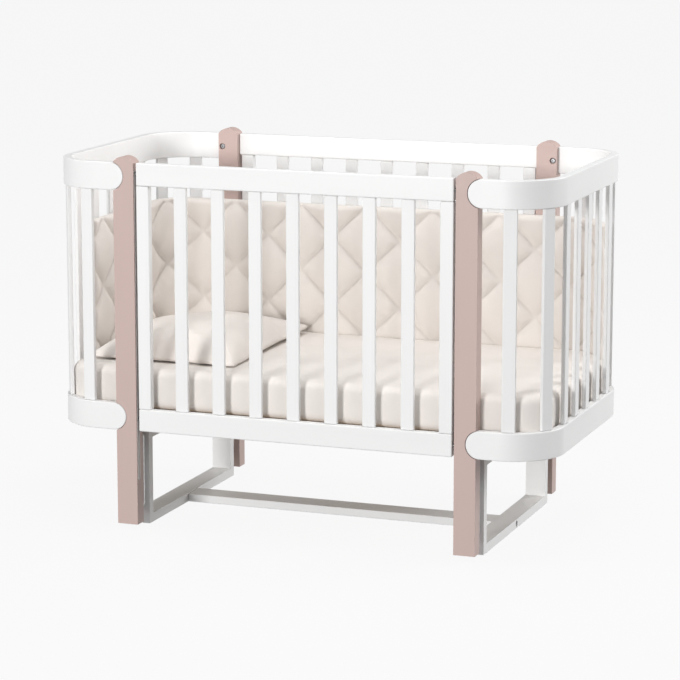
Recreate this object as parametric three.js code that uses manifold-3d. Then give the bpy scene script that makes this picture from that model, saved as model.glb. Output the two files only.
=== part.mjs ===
// Baby crib with a drop side, hung by four steel links from a low base so that it swings end to end.
// Millimetres. +X runs along the crib, -Y is the front with the drop side, +Z is up.
// The origin is on the floor under the middle of the crib.

import * as THREE from "three";
import * as BufferGeometryUtils from "three/addons/utils/BufferGeometryUtils.js";
import Module from "manifold-3d";

// Whole crib
const LENGTH = 1250;
const DEPTH = 676;
const RAIL_TOP = 888;
const RAIL_BOTTOM = 244;
const RAIL_THICKNESS = 20;
const EDGE_RADIUS = 3;

// Posts
const POST_CENTRE_X = 424;
const POST_WIDTH = 52;
const POST_THICKNESS = 35;
const POST_BOTTOM = 14;
const POST_ARCH = 14;
const POCKET_CLEARANCE = 1.2;
const BOLT_OFFSET = 15.7;
const BOLT_RECESS_RADIUS = 8;
const BOLT_RECESS_DEPTH = 6;
const GUIDE_SLOT_WIDTH = 10;
const GUIDE_SLOT_DEPTH = 12;
const GUIDE_SLOT_BOTTOM = 123;
const GUIDE_SLOT_TOP = 870;

// Ends: one bent rail above and one below, with slats between them
const END_RAIL_HEIGHT = 66;
const END_CORNER_RADIUS = 125;
const END_SLAT_COUNT = 9;
const END_SLAT_PITCH = 92.5;

// Long sides: the drop side in front and the fixed back
const SIDE_RAIL_HEIGHT = 54;
const SIDE_SET_BACK = 1;
const SIDE_SLAT_COUNT = 7;
const SIDE_SLAT_PITCH = 94;
const STILE_CENTRE_X = 376;
const DROP_SIDE_GAP = 6;
const GUIDE_PIN_RADIUS = 4;
const GUIDE_PIN_LENGTH = 16;
const SLAT_WIDTH = 32;
const SLAT_THICKNESS = 10;
const STILE_THICKNESS = 19;

// Base: two closed frames joined by a board on the floor
const FRAME_WIDTH = 50;
const FRAME_BAR = 22;
const FRAME_HALF_DEPTH = 266;
const FRAME_TOP = 233;
const STRETCHER_WIDTH = 66;
const STRETCHER_HEIGHT = 20;
const STRETCHER_BOLT_RADIUS = 7.5;
const STRETCHER_BOLT_DEPTH = 8;

// Swing links
const PIVOT_UPPER_Z = 216;
const PIVOT_LOWER_Z = 57;
const LINK_WIDTH = 36;
const LINK_THICKNESS = 6;
const LINK_PLANE_Y = 278;
const STUD_RADIUS = 6;
const STUD_HOLE_RADIUS = 7;
const BOSS_RADIUS = 11;
const HEAD_RADIUS = 8;
const HEAD_HEIGHT = 5;
const POST_STUD_DEPTH = 20;
const POST_STUD_HOLE_DEPTH = 22;
const STUD_END_CLEARANCE = 2;

// Bedding
const MATTRESS_LENGTH = 1200;
const MATTRESS_DEPTH = 600;
const MATTRESS_BOTTOM = 290.3;
const MATTRESS_TOP = 391;
const MATTRESS_CORNER_RADIUS = 72;
const MATTRESS_EDGE_RADIUS = 15;
const BED_BASE_BOTTOM = 270;
const BED_BASE_THICKNESS = 20;
const BED_BASE_CORNER_RADIUS = 104;
const BED_SLOT_COUNT = 11;
const BED_SLOT_PITCH = 100;
const BED_SLOT_WIDTH = 45;
const BED_SLOT_LENGTH = 480;
const BUMPER_HALF_LENGTH = 603;
const BUMPER_HALF_DEPTH = 302;
const BUMPER_CORNER_RADIUS = 100;
const BUMPER_THICKNESS = 26;
const BUMPER_TOP = 720;
const BUMPER_LEFT_END_Y = -165;
const BUMPER_RIGHT_END_Y = 196;
const PILLOW_CENTRE = new THREE.Vector3(-378, 18, 434);
const PILLOW_HALF_SIZE = new THREE.Vector3(192, 244, 41);

// Gap between pieces that touch
const GAP = 0.3;
// How far a cutter reaches past the face it opens, and how far joined shapes run into each other
const CUT_PAST = 5;
const JOIN_OVERLAP = 1;
// Facets on round work
const ROUND_SEGMENTS = 20;
const BEND_SEGMENTS = 12;
const EDGE_SEGMENTS = 2;
const MATTRESS_CORNER_SEGMENTS = 6;
const MATTRESS_EDGE_SEGMENTS = 3;
const PILLOW_SEGMENTS_ROUND = 24;
const PILLOW_SEGMENTS_HIGH = 10;

const HALF_LENGTH = LENGTH / 2;
const HALF_DEPTH = DEPTH / 2;
const POST_INNER_Y = HALF_DEPTH - POST_THICKNESS;
const POST_INNER_X = POST_CENTRE_X - POST_WIDTH / 2;
const END_RAIL_RADIUS = END_RAIL_HEIGHT / 2;
const END_RAIL_START_X = POST_CENTRE_X + 1 + END_RAIL_RADIUS;
const END_RAIL_LEVELS = [RAIL_TOP - END_RAIL_RADIUS, RAIL_BOTTOM + END_RAIL_RADIUS];
const SIDE_CENTRE_Y = HALF_DEPTH - SIDE_SET_BACK - RAIL_THICKNESS / 2;

const X_AXIS = new THREE.Vector3(1, 0, 0);
const Y_AXIS = new THREE.Vector3(0, 1, 0);
const Z_AXIS = new THREE.Vector3(0, 0, 1);
const MINUS_Y_AXIS = new THREE.Vector3(0, -1, 0);

const rosePaint = new THREE.MeshStandardMaterial({ color: 0xc2aca5, roughness: 0.45, metalness: 0 });
const whitePaint = new THREE.MeshStandardMaterial({ color: 0xf4f4f3, roughness: 0.4, metalness: 0 });
const steel = new THREE.MeshStandardMaterial({ color: 0xb4b6b8, roughness: 0.3, metalness: 1 });
const plywood = new THREE.MeshStandardMaterial({ color: 0xd8c09a, roughness: 0.6, metalness: 0 });
const creamFabric = new THREE.MeshStandardMaterial({ color: 0xeee2d6, roughness: 0.95, metalness: 0 });

const wasm = await Module();
wasm.setup();

// --- Solids and their joins -------------------------------------------------

function toSolid(geometry) {
  const bare = geometry.clone();
  bare.deleteAttribute("normal");
  bare.deleteAttribute("uv");
  const merged = BufferGeometryUtils.mergeVertices(bare, 1e-4);
  const vertProperties = new Float32Array(merged.attributes.position.array);
  const triVerts = new Uint32Array(merged.index.array);
  return new wasm.Manifold(new wasm.Mesh({ numProp: 3, vertProperties, triVerts }));
}

function toGeometry(solid) {
  const mesh = solid.getMesh();
  const geometry = new THREE.BufferGeometry();
  geometry.setAttribute("position", new THREE.BufferAttribute(new Float32Array(mesh.vertProperties), 3));
  geometry.setIndex(new THREE.BufferAttribute(new Uint32Array(mesh.triVerts), 1));
  return geometry;
}

function join(geometries) {
  const solids = geometries.map(toSolid);
  return toGeometry(solids.reduce((whole, piece) => whole.add(piece)));
}

function cut(geometry, cutters) {
  const solids = cutters.map(toSolid);
  return toGeometry(solids.reduce((whole, piece) => whole.subtract(piece), toSolid(geometry)));
}

// --- Basic shapes -----------------------------------------------------------

function box(lowX, highX, lowY, highY, lowZ, highZ) {
  const geometry = new THREE.BoxGeometry(highX - lowX, highY - lowY, highZ - lowZ);
  return geometry.translate((lowX + highX) / 2, (lowY + highY) / 2, (lowZ + highZ) / 2);
}

// A round bar along Y between two depths, in either order.
function roundAlongY(radius, x, z, fromY, toY) {
  const geometry = new THREE.CylinderGeometry(radius, radius, Math.abs(toY - fromY), ROUND_SEGMENTS);
  return geometry.translate(x, (fromY + toY) / 2, z);
}

// A round bar along X between two places, in either order.
function roundAlongX(radius, y, z, fromX, toX) {
  const geometry = new THREE.CylinderGeometry(radius, radius, Math.abs(toX - fromX), ROUND_SEGMENTS);
  return geometry.rotateZ(Math.PI / 2).translate((fromX + toX) / 2, y, z);
}

function roundedRectangle(width, height, radius) {
  const x = width / 2 - radius;
  const y = height / 2 - radius;
  const shape = new THREE.Shape();
  shape.absarc(x, y, radius, 0, Math.PI / 2, false);
  shape.absarc(-x, y, radius, Math.PI / 2, Math.PI, false);
  shape.absarc(-x, -y, radius, Math.PI, 1.5 * Math.PI, false);
  shape.absarc(x, -y, radius, 1.5 * Math.PI, 2 * Math.PI, false);
  shape.closePath();
  return shape;
}

// A straight bar with eased edges, centred on the origin, running along Z.
function easedBar(width, thickness, length) {
  const section = roundedRectangle(width, thickness, EDGE_RADIUS);
  const geometry = new THREE.ExtrudeGeometry(section, {
    depth: length,
    bevelEnabled: false,
    curveSegments: EDGE_SEGMENTS,
  });
  return geometry.translate(0, 0, -length / 2);
}

function uprightBar(width, thickness, lowZ, highZ) {
  return easedBar(width, thickness, highZ - lowZ).translate(0, 0, (lowZ + highZ) / 2);
}

// --- Posts ------------------------------------------------------------------

function postOutline() {
  const halfWidth = POST_WIDTH / 2;
  const archRadius = (halfWidth ** 2 + POST_ARCH ** 2) / (2 * POST_ARCH);
  const archCentre = RAIL_TOP + POST_ARCH - archRadius;
  const shoulder = Math.atan2(RAIL_TOP - archCentre, halfWidth);
  const shape = new THREE.Shape();
  shape.moveTo(-halfWidth, POST_BOTTOM);
  shape.lineTo(halfWidth, POST_BOTTOM);
  shape.absarc(0, archCentre, archRadius, shoulder, Math.PI - shoulder, false);
  shape.closePath();
  return shape;
}

// sideX is -1 on the left and 1 on the right, sideY is -1 in front and 1 at the back.
function postGeometry(sideX, sideY) {
  const outward = new THREE.ExtrudeGeometry(postOutline(), {
    depth: POST_THICKNESS,
    bevelEnabled: false,
    curveSegments: BEND_SEGMENTS,
  });
  outward.applyMatrix4(new THREE.Matrix4().makeBasis(X_AXIS, Z_AXIS, MINUS_Y_AXIS));
  const middleY = sideY * (HALF_DEPTH - POST_THICKNESS / 2);
  outward.translate(sideX * POST_CENTRE_X, middleY + POST_THICKNESS / 2, 0);

  const innerY = sideY * POST_INNER_Y;
  const pocketFloorY = sideY * (HALF_DEPTH - RAIL_THICKNESS - GAP);
  const outsideY = sideY * (HALF_DEPTH + CUT_PAST);
  const insideY = sideY * (POST_INNER_Y - CUT_PAST);
  const cutters = [];
  for (const level of END_RAIL_LEVELS) {
    const pocketX = sideX * END_RAIL_START_X;
    cutters.push(roundAlongY(END_RAIL_RADIUS + POCKET_CLEARANCE, pocketX, level, pocketFloorY, outsideY));
    const boltX = sideX * (POST_CENTRE_X + BOLT_OFFSET);
    const boltFloorY = innerY + sideY * BOLT_RECESS_DEPTH;
    cutters.push(roundAlongY(BOLT_RECESS_RADIUS, boltX, level, insideY, boltFloorY));
  }
  const pivotX = sideX * POST_CENTRE_X;
  const studFloorY = innerY + sideY * POST_STUD_HOLE_DEPTH;
  cutters.push(roundAlongY(STUD_HOLE_RADIUS, pivotX, PIVOT_LOWER_Z, insideY, studFloorY));
  if (sideY < 0) {
    cutters.push(guideSlot(sideX));
  }
  return cut(outward, cutters);
}

// The slot in the inner edge of a front post that the drop side's pins run in.
function guideSlot(sideX) {
  const radius = GUIDE_SLOT_WIDTH / 2;
  const mouth = POST_INNER_X - CUT_PAST;
  const floor = POST_INNER_X + GUIDE_SLOT_DEPTH;
  const low = Math.min(sideX * mouth, sideX * floor);
  const high = Math.max(sideX * mouth, sideX * floor);
  const y = -SIDE_CENTRE_Y;
  const bottom = GUIDE_SLOT_BOTTOM + radius;
  const top = GUIDE_SLOT_TOP - radius;
  return join([
    box(low, high, y - radius, y + radius, bottom, top),
    roundAlongX(radius, y, bottom, low, high),
    roundAlongX(radius, y, top, low, high),
  ]);
}

// --- Ends -------------------------------------------------------------------

// Plan of the rail that runs round the right end, from the front posts to the back posts.
function endRailPlan() {
  const cornerX = HALF_LENGTH - END_CORNER_RADIUS;
  const cornerY = HALF_DEPTH - END_CORNER_RADIUS;
  const innerRadius = END_CORNER_RADIUS - RAIL_THICKNESS;
  const innerY = HALF_DEPTH - RAIL_THICKNESS;
  const shape = new THREE.Shape();
  shape.moveTo(END_RAIL_START_X, -HALF_DEPTH);
  shape.absarc(cornerX, -cornerY, END_CORNER_RADIUS, -Math.PI / 2, 0, false);
  shape.absarc(cornerX, cornerY, END_CORNER_RADIUS, 0, Math.PI / 2, false);
  shape.lineTo(END_RAIL_START_X, HALF_DEPTH);
  shape.lineTo(END_RAIL_START_X, innerY);
  shape.absarc(cornerX, cornerY, innerRadius, Math.PI / 2, 0, true);
  shape.absarc(cornerX, -cornerY, innerRadius, 0, -Math.PI / 2, true);
  shape.lineTo(END_RAIL_START_X, -innerY);
  shape.closePath();
  return shape;
}

function endRailGeometry(sideX, level) {
  const strip = new THREE.ExtrudeGeometry(endRailPlan(), {
    depth: END_RAIL_HEIGHT,
    bevelEnabled: false,
    curveSegments: BEND_SEGMENTS,
  });
  strip.translate(0, 0, level - END_RAIL_HEIGHT / 2);
  const inner = HALF_DEPTH - RAIL_THICKNESS;
  const rail = join([
    strip,
    roundAlongY(END_RAIL_RADIUS, END_RAIL_START_X, level, -HALF_DEPTH, -inner),
    roundAlongY(END_RAIL_RADIUS, END_RAIL_START_X, level, inner, HALF_DEPTH),
  ]);
  return sideX > 0 ? rail : rail.rotateZ(Math.PI);
}

// Where the middle line of the right end's rails is, a distance along it from its middle.
function endPlace(distance) {
  const radius = END_CORNER_RADIUS - RAIL_THICKNESS / 2;
  const cornerX = HALF_LENGTH - END_CORNER_RADIUS;
  const cornerY = HALF_DEPTH - END_CORNER_RADIUS;
  const along = Math.abs(distance);
  if (along <= cornerY) {
    return { x: cornerX + radius, y: distance, turn: 0 };
  }
  const turn = (along - cornerY) / radius;
  const side = Math.sign(distance);
  return {
    x: cornerX + radius * Math.cos(turn),
    y: side * (cornerY + radius * Math.sin(turn)),
    turn: side * turn,
  };
}

function endSlatGeometry(sideX, index) {
  const place = endPlace((index - (END_SLAT_COUNT - 1) / 2) * END_SLAT_PITCH);
  const lowZ = RAIL_BOTTOM + END_RAIL_HEIGHT + GAP;
  const highZ = RAIL_TOP - END_RAIL_HEIGHT - GAP;
  const slat = uprightBar(SLAT_THICKNESS, SLAT_WIDTH, lowZ, highZ);
  slat.rotateZ(place.turn).translate(place.x, place.y, 0);
  return sideX > 0 ? slat : slat.rotateZ(Math.PI);
}

// --- Long sides -------------------------------------------------------------

function sideRailGeometry(sideY, level, halfLength) {
  const rail = easedBar(SIDE_RAIL_HEIGHT, RAIL_THICKNESS, 2 * halfLength);
  rail.applyMatrix4(new THREE.Matrix4().makeBasis(Z_AXIS, Y_AXIS, X_AXIS.clone().negate()));
  return rail.translate(0, sideY * SIDE_CENTRE_Y, level);
}

// A drop side rail carries a steel pin at each end, which runs in the post's slot.
function dropSideRailGeometry(level) {
  const halfLength = POST_INNER_X - DROP_SIDE_GAP;
  const y = -SIDE_CENTRE_Y;
  const reach = halfLength + GUIDE_PIN_LENGTH;
  return join([
    sideRailGeometry(-1, level, halfLength),
    roundAlongX(GUIDE_PIN_RADIUS, y, level, -reach, reach),
  ]);
}

function sideUprightGeometry(sideY, x, width, thickness) {
  const lowZ = RAIL_BOTTOM + SIDE_RAIL_HEIGHT + GAP;
  const highZ = RAIL_TOP - SIDE_RAIL_HEIGHT - GAP;
  return uprightBar(width, thickness, lowZ, highZ).translate(x, sideY * SIDE_CENTRE_Y, 0);
}

// --- Base -------------------------------------------------------------------

function baseFrameGeometry(sideX) {
  const shape = new THREE.Shape();
  shape.moveTo(-FRAME_HALF_DEPTH, 0);
  shape.lineTo(FRAME_HALF_DEPTH, 0);
  shape.lineTo(FRAME_HALF_DEPTH, FRAME_TOP);
  shape.lineTo(-FRAME_HALF_DEPTH, FRAME_TOP);
  shape.closePath();
  const opening = new THREE.Path();
  const insideY = FRAME_HALF_DEPTH - FRAME_BAR;
  opening.moveTo(-insideY, FRAME_BAR);
  opening.lineTo(-insideY, FRAME_TOP - FRAME_BAR);
  opening.lineTo(insideY, FRAME_TOP - FRAME_BAR);
  opening.lineTo(insideY, FRAME_BAR);
  opening.closePath();
  shape.holes.push(opening);
  const frame = new THREE.ExtrudeGeometry(shape, { depth: FRAME_WIDTH, bevelEnabled: false });
  frame.applyMatrix4(new THREE.Matrix4().makeBasis(Y_AXIS, Z_AXIS, X_AXIS));
  frame.translate(sideX * POST_CENTRE_X - FRAME_WIDTH / 2, 0, 0);

  const pivotX = sideX * POST_CENTRE_X;
  const beyond = FRAME_HALF_DEPTH + CUT_PAST;
  const within = FRAME_HALF_DEPTH - FRAME_BAR - CUT_PAST;
  const boltMouth = sideX * (POST_CENTRE_X + FRAME_WIDTH / 2 + CUT_PAST);
  const boltFloor = sideX * (POST_CENTRE_X + FRAME_WIDTH / 2 - STRETCHER_BOLT_DEPTH);
  return cut(frame, [
    roundAlongY(STUD_HOLE_RADIUS, pivotX, PIVOT_UPPER_Z, -beyond, -within),
    roundAlongY(STUD_HOLE_RADIUS, pivotX, PIVOT_UPPER_Z, within, beyond),
    roundAlongX(STRETCHER_BOLT_RADIUS, 0, FRAME_BAR / 2, boltMouth, boltFloor),
  ]);
}

function stretcherGeometry() {
  const halfLength = POST_CENTRE_X - FRAME_WIDTH / 2 - GAP;
  const halfWidth = STRETCHER_WIDTH / 2;
  return box(-halfLength, halfLength, -halfWidth, halfWidth, 0, STRETCHER_HEIGHT);
}

// --- Swing links ------------------------------------------------------------

function linkPlateGeometry() {
  const radius = LINK_WIDTH / 2;
  const shape = new THREE.Shape();
  shape.absarc(0, PIVOT_UPPER_Z, radius, 0, Math.PI, false);
  shape.absarc(0, PIVOT_LOWER_Z, radius, Math.PI, 2 * Math.PI, false);
  shape.closePath();
  const plate = new THREE.ExtrudeGeometry(shape, {
    depth: LINK_THICKNESS,
    bevelEnabled: false,
    curveSegments: BEND_SEGMENTS,
  });
  plate.applyMatrix4(new THREE.Matrix4().makeBasis(X_AXIS, Z_AXIS, MINUS_Y_AXIS));
  return plate.translate(0, LINK_THICKNESS / 2, 0);
}

// The plate hangs from a stud in the base frame's upright and holds the post by a stud in its back.
function linkGeometry(sideX, sideY) {
  const x = sideX * POST_CENTRE_X;
  const towardsPost = LINK_PLANE_Y + LINK_THICKNESS / 2;
  const towardsFrame = LINK_PLANE_Y - LINK_THICKNESS / 2;
  const postStudEnd = POST_INNER_Y + POST_STUD_DEPTH;
  const frameStudEnd = FRAME_HALF_DEPTH - FRAME_BAR + STUD_END_CLEARANCE;
  const rounds = [
    [STUD_RADIUS, PIVOT_LOWER_Z, towardsPost - JOIN_OVERLAP, postStudEnd],
    [BOSS_RADIUS, PIVOT_LOWER_Z, towardsPost - JOIN_OVERLAP, POST_INNER_Y - 2 * GAP],
    [HEAD_RADIUS, PIVOT_LOWER_Z, towardsFrame + JOIN_OVERLAP, towardsFrame - HEAD_HEIGHT],
    [STUD_RADIUS, PIVOT_UPPER_Z, towardsFrame + JOIN_OVERLAP, frameStudEnd],
    [BOSS_RADIUS, PIVOT_UPPER_Z, towardsFrame + JOIN_OVERLAP, FRAME_HALF_DEPTH + 2 * GAP],
    [HEAD_RADIUS, PIVOT_UPPER_Z, towardsPost - JOIN_OVERLAP, towardsPost + HEAD_HEIGHT],
  ];
  const plate = linkPlateGeometry().translate(x, sideY * LINK_PLANE_Y, 0);
  const pieces = rounds.map(([radius, z, fromY, toY]) => (
    roundAlongY(radius, x, z, sideY * fromY, sideY * toY)
  ));
  return join([plate, ...pieces]);
}

// --- Bedding ----------------------------------------------------------------

// The board fits between the end rails and between the inner faces of the posts.
function bedBaseGeometry() {
  const length = 2 * (HALF_LENGTH - RAIL_THICKNESS - GAP);
  const depth = 2 * (POST_INNER_Y - GAP);
  const plan = roundedRectangle(length, depth, BED_BASE_CORNER_RADIUS);
  const board = new THREE.ExtrudeGeometry(plan, {
    depth: BED_BASE_THICKNESS,
    bevelEnabled: false,
    curveSegments: MATTRESS_CORNER_SEGMENTS,
  });
  board.translate(0, 0, BED_BASE_BOTTOM);
  const halfSlot = BED_SLOT_WIDTH / 2;
  const halfLength = BED_SLOT_LENGTH / 2;
  const below = BED_BASE_BOTTOM - CUT_PAST;
  const above = BED_BASE_BOTTOM + BED_BASE_THICKNESS + CUT_PAST;
  const slots = [];
  for (let i = 0; i < BED_SLOT_COUNT; i += 1) {
    const x = (i - (BED_SLOT_COUNT - 1) / 2) * BED_SLOT_PITCH;
    slots.push(box(x - halfSlot, x + halfSlot, -halfLength, halfLength, below, above));
  }
  return cut(board, slots);
}

function mattressGeometry() {
  const inset = MATTRESS_EDGE_RADIUS;
  const plan = roundedRectangle(
    MATTRESS_LENGTH - 2 * inset, MATTRESS_DEPTH - 2 * inset, MATTRESS_CORNER_RADIUS - inset
  );
  const block = new THREE.ExtrudeGeometry(plan, {
    depth: MATTRESS_TOP - MATTRESS_BOTTOM - 2 * inset,
    bevelEnabled: true,
    bevelThickness: inset,
    bevelSize: inset,
    bevelSegments: MATTRESS_EDGE_SEGMENTS,
    curveSegments: MATTRESS_CORNER_SEGMENTS,
  });
  return block.translate(0, 0, MATTRESS_BOTTOM + inset);
}

// The bumper stands on the mattress round the left end, the back and the far corner.
function bumperGeometry() {
  const cornerX = BUMPER_HALF_LENGTH - BUMPER_CORNER_RADIUS;
  const cornerY = BUMPER_HALF_DEPTH - BUMPER_CORNER_RADIUS;
  const inner = BUMPER_CORNER_RADIUS - BUMPER_THICKNESS;
  const plan = new THREE.Shape();
  plan.moveTo(BUMPER_HALF_LENGTH, BUMPER_RIGHT_END_Y);
  plan.absarc(cornerX, cornerY, BUMPER_CORNER_RADIUS, 0, Math.PI / 2, false);
  plan.absarc(-cornerX, cornerY, BUMPER_CORNER_RADIUS, Math.PI / 2, Math.PI, false);
  plan.lineTo(-BUMPER_HALF_LENGTH, BUMPER_LEFT_END_Y);
  plan.lineTo(-BUMPER_HALF_LENGTH + BUMPER_THICKNESS, BUMPER_LEFT_END_Y);
  plan.absarc(-cornerX, cornerY, inner, Math.PI, Math.PI / 2, true);
  plan.absarc(cornerX, cornerY, inner, Math.PI / 2, 0, true);
  plan.lineTo(BUMPER_HALF_LENGTH - BUMPER_THICKNESS, BUMPER_RIGHT_END_Y);
  plan.closePath();
  const bottom = MATTRESS_TOP + 2 * GAP;
  const pad = new THREE.ExtrudeGeometry(plan, {
    depth: BUMPER_TOP - bottom,
    bevelEnabled: false,
    curveSegments: BEND_SEGMENTS,
  });
  return pad.translate(0, 0, bottom);
}

// A square cushion drawn out to its corners and thickest in its middle.
function pillowGeometry() {
  const pillow = new THREE.SphereGeometry(1, PILLOW_SEGMENTS_ROUND, PILLOW_SEGMENTS_HIGH);
  const position = pillow.attributes.position;
  const point = new THREE.Vector3();
  const squareness = 0.55;
  for (let i = 0; i < position.count; i += 1) {
    point.fromBufferAttribute(position, i);
    const reach = Math.hypot(point.x, point.z);
    const c = reach > 1e-6 ? point.x / reach : 0;
    const s = reach > 1e-6 ? point.z / reach : 0;
    const across = Math.sign(c) * Math.abs(c) ** squareness;
    const along = Math.sign(s) * Math.abs(s) ** squareness;
    position.setXYZ(i, reach * across, -reach * along, point.y);
  }
  pillow.scale(PILLOW_HALF_SIZE.x, PILLOW_HALF_SIZE.y, PILLOW_HALF_SIZE.z);
  pillow.translate(PILLOW_CENTRE.x, PILLOW_CENTRE.y, PILLOW_CENTRE.z);
  return toGeometry(toSolid(pillow));
}

// --- Assembly ---------------------------------------------------------------

const crib = new THREE.Group();

function add(name, geometry, material) {
  const mesh = new THREE.Mesh(geometry, material);
  mesh.name = name;
  crib.add(mesh);
}

const SIDES_X = [["left", -1], ["right", 1]];
const SIDES_Y = [["front", -1], ["back", 1]];

for (const [nameY, sideY] of SIDES_Y) {
  for (const [nameX, sideX] of SIDES_X) {
    add(`post_${nameY}_${nameX}`, postGeometry(sideX, sideY), rosePaint);
    add(`swing_link_${nameY}_${nameX}`, linkGeometry(sideX, sideY), steel);
  }
}

for (const [nameX, sideX] of SIDES_X) {
  add(`${nameX}_end_top_rail`, endRailGeometry(sideX, END_RAIL_LEVELS[0]), whitePaint);
  add(`${nameX}_end_bottom_rail`, endRailGeometry(sideX, END_RAIL_LEVELS[1]), whitePaint);
  for (let i = 0; i < END_SLAT_COUNT; i += 1) {
    add(`${nameX}_end_slat_${i + 1}`, endSlatGeometry(sideX, i), whitePaint);
  }
  add(`base_frame_${nameX}`, baseFrameGeometry(sideX), whitePaint);
}
add("base_stretcher", stretcherGeometry(), whitePaint);

const TOP_LEVEL = RAIL_TOP - SIDE_RAIL_HEIGHT / 2;
const BOTTOM_LEVEL = RAIL_BOTTOM + SIDE_RAIL_HEIGHT / 2;
add("drop_side_top_rail", dropSideRailGeometry(TOP_LEVEL), whitePaint);
add("drop_side_bottom_rail", dropSideRailGeometry(BOTTOM_LEVEL), whitePaint);
add("back_top_rail", sideRailGeometry(1, TOP_LEVEL, POST_INNER_X - GAP), whitePaint);
add("back_bottom_rail", sideRailGeometry(1, BOTTOM_LEVEL, POST_INNER_X - GAP), whitePaint);
for (const [panel, sideY] of [["drop_side", -1], ["back", 1]]) {
  for (const [nameX, sideX] of SIDES_X) {
    const stile = sideUprightGeometry(sideY, sideX * STILE_CENTRE_X, SLAT_WIDTH, STILE_THICKNESS);
    add(`${panel}_stile_${nameX}`, stile, whitePaint);
  }
  for (let i = 0; i < SIDE_SLAT_COUNT; i += 1) {
    const x = (i - (SIDE_SLAT_COUNT - 1) / 2) * SIDE_SLAT_PITCH;
    add(`${panel}_slat_${i + 1}`, sideUprightGeometry(sideY, x, SLAT_WIDTH, SLAT_THICKNESS), whitePaint);
  }
}

add("bed_base", bedBaseGeometry(), plywood);
add("mattress", mattressGeometry(), creamFabric);
add("bumper", bumperGeometry(), creamFabric);
add("pillow", pillowGeometry(), creamFabric);

export default crib;
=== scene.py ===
import math

import bmesh
import bpy
import numpy as np
from mathutils import Matrix, Vector


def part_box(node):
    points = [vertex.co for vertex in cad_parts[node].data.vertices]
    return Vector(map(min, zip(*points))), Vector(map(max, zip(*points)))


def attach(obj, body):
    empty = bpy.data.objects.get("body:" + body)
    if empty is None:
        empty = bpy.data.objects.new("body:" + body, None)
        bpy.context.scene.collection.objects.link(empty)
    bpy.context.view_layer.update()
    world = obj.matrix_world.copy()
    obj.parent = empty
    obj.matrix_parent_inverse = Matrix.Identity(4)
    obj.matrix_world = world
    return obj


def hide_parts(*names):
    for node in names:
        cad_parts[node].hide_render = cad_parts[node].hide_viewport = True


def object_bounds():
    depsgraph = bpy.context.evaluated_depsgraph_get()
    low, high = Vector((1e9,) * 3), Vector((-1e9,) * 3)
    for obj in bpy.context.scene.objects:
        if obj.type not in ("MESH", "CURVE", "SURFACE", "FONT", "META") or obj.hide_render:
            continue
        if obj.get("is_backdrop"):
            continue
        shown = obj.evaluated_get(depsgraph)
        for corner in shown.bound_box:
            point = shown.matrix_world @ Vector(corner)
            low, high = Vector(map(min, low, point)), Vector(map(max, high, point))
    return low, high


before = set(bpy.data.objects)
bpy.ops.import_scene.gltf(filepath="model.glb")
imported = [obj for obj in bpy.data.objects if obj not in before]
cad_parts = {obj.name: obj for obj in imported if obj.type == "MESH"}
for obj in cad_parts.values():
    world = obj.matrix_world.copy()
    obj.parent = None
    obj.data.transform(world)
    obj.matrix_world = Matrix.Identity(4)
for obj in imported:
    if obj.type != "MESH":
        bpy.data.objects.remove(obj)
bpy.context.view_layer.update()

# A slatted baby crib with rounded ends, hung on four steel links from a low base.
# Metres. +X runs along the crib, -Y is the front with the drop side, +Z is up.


# --- Base frames --------------------------------------------------------------
# Two closed rectangles of solid beech board, 50 mm wide and 22 mm thick, glued at the corners
# and sprayed with satin white paint. They stand on the floor under the posts, and a bolt through
# the lower bar of each holds the stretcher.

FRAME_WIDTH = 0.050
FRAME_BAR = 0.022
FRAME_HALF_DEPTH = 0.266
FRAME_TOP = 0.233
POST_CENTRE_X = 0.424
UPPER_PIVOT_Z = 0.216
STUD_HOLE_RADIUS = 0.007
FRAME_STUD_HOLE_DEPTH = 0.0399
STRETCHER_RECESS_RADIUS = 0.0075
STRETCHER_RECESS_DEPTH = 0.008
FRAME_EDGE = 0.0015
CUT_PAST = 0.007
WHITE_PAINT = (0.875, 0.875, 0.872)
WHITE_GLOSS = 0.42
EVEN = (1, 1, 1)
SIDES = (("left", -1), ("right", 1))


def node(tree, kind, **sockets):
    """Adds a shader node, with underscores in a socket's name standing for spaces."""
    made = tree.nodes.new(kind)
    for name, value in sockets.items():
        made.inputs[name.replace("_", " ")].default_value = value
    return made


def new_finish(name):
    """A material with an empty Principled surface, and its tree."""
    finish = bpy.data.materials.new(name)
    finish.use_nodes = True
    tree = finish.node_tree
    surface = next(n for n in tree.nodes if n.type == "BSDF_PRINCIPLED")
    return finish, tree, surface


def place_on_piece(tree, scale):
    """The place of a point on its piece, stretched by scale, as a vector socket."""
    place = tree.nodes.new("ShaderNodeTexCoord")
    stretch = tree.nodes.new("ShaderNodeMapping")
    stretch.inputs["Scale"].default_value = scale
    tree.links.new(place.outputs["Object"], stretch.inputs["Vector"])
    return stretch.outputs["Vector"]


def speckle(tree, scale, size, detail=3.0):
    """A noise value between 0 and 1 over the piece."""
    noise = node(tree, "ShaderNodeTexNoise", Scale=size, Detail=detail)
    tree.links.new(place_on_piece(tree, scale), noise.inputs["Vector"])
    return noise.outputs["Fac"]


def between(tree, value, low, high):
    """Turns a noise value into one that runs from low to high."""
    ranged = node(tree, "ShaderNodeMapRange", From_Min=0.3, From_Max=0.7, To_Min=low, To_Max=high)
    tree.links.new(value, ranged.inputs["Value"])
    return ranged.outputs["Result"]


def tint(tree, value, colour_a, colour_b, surface):
    """Mixes two colours by a value and gives the result to the surface."""
    mix = tree.nodes.new("ShaderNodeMix")
    mix.data_type = "RGBA"
    mix.inputs["A"].default_value = (*colour_a, 1)
    mix.inputs["B"].default_value = (*colour_b, 1)
    tree.links.new(value, mix.inputs["Factor"])
    tree.links.new(mix.outputs["Result"], surface.inputs["Base Color"])


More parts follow.
